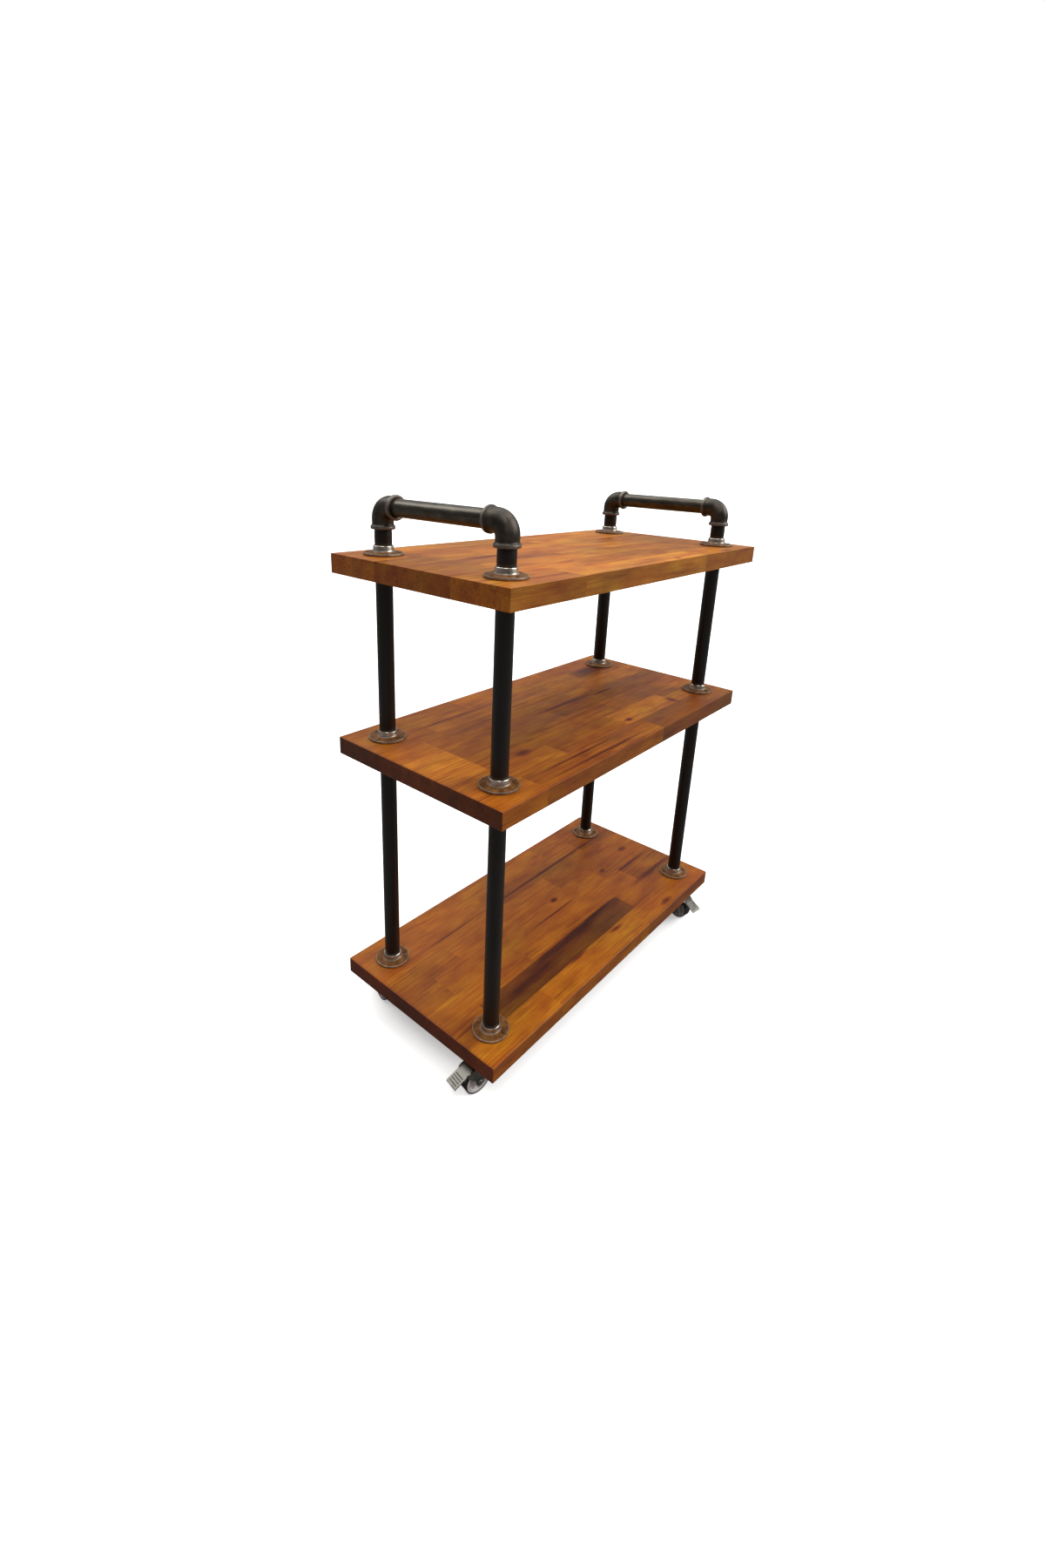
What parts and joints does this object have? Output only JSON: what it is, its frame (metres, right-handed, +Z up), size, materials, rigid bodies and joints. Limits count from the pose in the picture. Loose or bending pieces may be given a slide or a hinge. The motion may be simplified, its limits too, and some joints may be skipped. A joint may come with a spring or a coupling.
{
  "type": "bar cart",
  "caption": "Bar cart with wooden shelves on threaded pipe posts and floor flanges, a pipe handle with elbows at each end, and braked swivel casters.",
  "frame": {"origin": "on the floor, under the middle of the cart", "axes": "+X along the shelves' length, +Y towards the back, +Z up"},
  "size_m": [0.7944, 0.4062, 0.9489],
  "materials": {
    "stained_wood": "honey-brown stained edge-glued staves, satin varnish",
    "black_pipe": "black lacquered steel pipe, semi-gloss",
    "flange_steel": "dull galvanised steel",
    "cast_iron": "rough cast, lightly worn",
    "zinc_steel": "zinc-plated pressed steel",
    "tread_rubber": "matt",
    "core_plastic": "moulded, matt"
  },
  "bodies": {
    "cart_frame": {"shelf_bottom": "stained_wood", "shelf_middle": "stained_wood", "shelf_top": "stained_wood", "flange_bottom_front_left": "flange_steel", "flange_middle_front_left": "flange_steel", "flange_top_front_left": "flange_steel", "post_lower_front_left": "black_pipe", "post_upper_front_left": "black_pipe", "nipple_front_left": "black_pipe", "elbow_front_left": "cast_iron", "flange_bottom_front_right": "flange_steel", "flange_middle_front_right": "flange_steel", "flange_top_front_right": "flange_steel", "post_lower_front_right": "black_pipe", "post_upper_front_right": "black_pipe", "nipple_front_right": "black_pipe", "elbow_front_right": "cast_iron", "flange_bottom_back_right": "flange_steel", "flange_middle_back_right": "flange_steel", "flange_top_back_right": "flange_steel", "post_lower_back_right": "black_pipe", "post_upper_back_right": "black_pipe", "nipple_back_right": "black_pipe", "elbow_back_right": "cast_iron", "flange_bottom_back_left": "flange_steel", "flange_middle_back_left": "flange_steel", "flange_top_back_left": "flange_steel", "post_lower_back_left": "black_pipe", "post_upper_back_left": "black_pipe", "nipple_back_left": "black_pipe", "elbow_back_left": "cast_iron", "handle_left": "black_pipe", "handle_right": "black_pipe", "caster_plate_front_left": "zinc_steel", "caster_plate_front_right": "zinc_steel", "caster_plate_back_right": "zinc_steel", "caster_plate_back_left": "zinc_steel"},
    "fork_front_left": {"caster_fork_front_left": "zinc_steel", "caster_axle_front_left": "zinc_steel"},
    "wheel_front_left": {"wheel_core_front_left": "core_plastic", "wheel_tyre_front_left": "tread_rubber"},
    "pedal_front_left": {"brake_pedal_front_left": "zinc_steel"},
    "fork_front_right": {"caster_fork_front_right": "zinc_steel", "caster_axle_front_right": "zinc_steel"},
    "wheel_front_right": {"wheel_core_front_right": "core_plastic", "wheel_tyre_front_right": "tread_rubber"},
    "pedal_front_right": {"brake_pedal_front_right": "zinc_steel"},
    "fork_back_right": {"caster_fork_back_right": "zinc_steel", "caster_axle_back_right": "zinc_steel"},
    "wheel_back_right": {"wheel_core_back_right": "core_plastic", "wheel_tyre_back_right": "tread_rubber"},
    "pedal_back_right": {"brake_pedal_back_right": "zinc_steel"},
    "fork_back_left": {"caster_fork_back_left": "zinc_steel", "caster_axle_back_left": "zinc_steel"},
    "wheel_back_left": {"wheel_core_back_left": "core_plastic", "wheel_tyre_back_left": "tread_rubber"},
    "pedal_back_left": {"brake_pedal_back_left": "zinc_steel"}
  },
  "joints": [
    {"name": "swivel_front_left", "type": "hinge", "parent": "cart_frame", "child": "fork_front_left", "pos_m": [-0.32, -0.126, 0.065], "axis": [0, 0, 1], "continuous": true},
    {"name": "roll_front_left", "type": "hinge", "parent": "fork_front_left", "child": "wheel_front_left", "pos_m": [-0.34462, -0.12166, 0.025], "axis": [-0.1736, -0.9848, 0], "continuous": true},
    {"name": "brake_front_left", "type": "hinge", "parent": "fork_front_left", "child": "pedal_front_left", "pos_m": [-0.36333, -0.11836, 0.05], "axis": [-0.1736, -0.9848, 0], "range_deg": [0, 12]},
    {"name": "swivel_front_right", "type": "hinge", "parent": "cart_frame", "child": "fork_front_right", "pos_m": [0.32, -0.126, 0.065], "axis": [0, 0, 1], "continuous": true},
    {"name": "roll_front_right", "type": "hinge", "parent": "fork_front_right", "child": "wheel_front_right", "pos_m": [0.3148, -0.15045, 0.025], "axis": [0.9781, -0.2079, 0], "continuous": true},
    {"name": "brake_front_right", "type": "hinge", "parent": "fork_front_right", "child": "pedal_front_right", "pos_m": [0.31085, -0.16904, 0.05], "axis": [0.9781, -0.2079, 0], "range_deg": [0, 12]},
    {"name": "swivel_back_right", "type": "hinge", "parent": "cart_frame", "child": "fork_back_right", "pos_m": [0.32, 0.126, 0.065], "axis": [0, 0, 1], "continuous": true},
    {"name": "roll_back_right", "type": "hinge", "parent": "fork_back_right", "child": "wheel_back_right", "pos_m": [0.34462, 0.12166, 0.025], "axis": [0.1736, 0.9848, 0], "continuous": true},
    {"name": "brake_back_right", "type": "hinge", "parent": "fork_back_right", "child": "pedal_back_right", "pos_m": [0.36333, 0.11836, 0.05], "axis": [0.1736, 0.9848, 0], "range_deg": [0, 12]},
    {"name": "swivel_back_left", "type": "hinge", "parent": "cart_frame", "child": "fork_back_left", "pos_m": [-0.32, 0.126, 0.065], "axis": [0, 0, 1], "continuous": true},
    {"name": "roll_back_left", "type": "hinge", "parent": "fork_back_left", "child": "wheel_back_left", "pos_m": [-0.3148, 0.15045, 0.025], "axis": [-0.9781, 0.2079, 0], "continuous": true},
    {"name": "brake_back_left", "type": "hinge", "parent": "fork_back_left", "child": "pedal_back_left", "pos_m": [-0.31085, 0.16904, 0.05], "axis": [-0.9781, 0.2079, 0], "range_deg": [0, 12]}
  ]
}
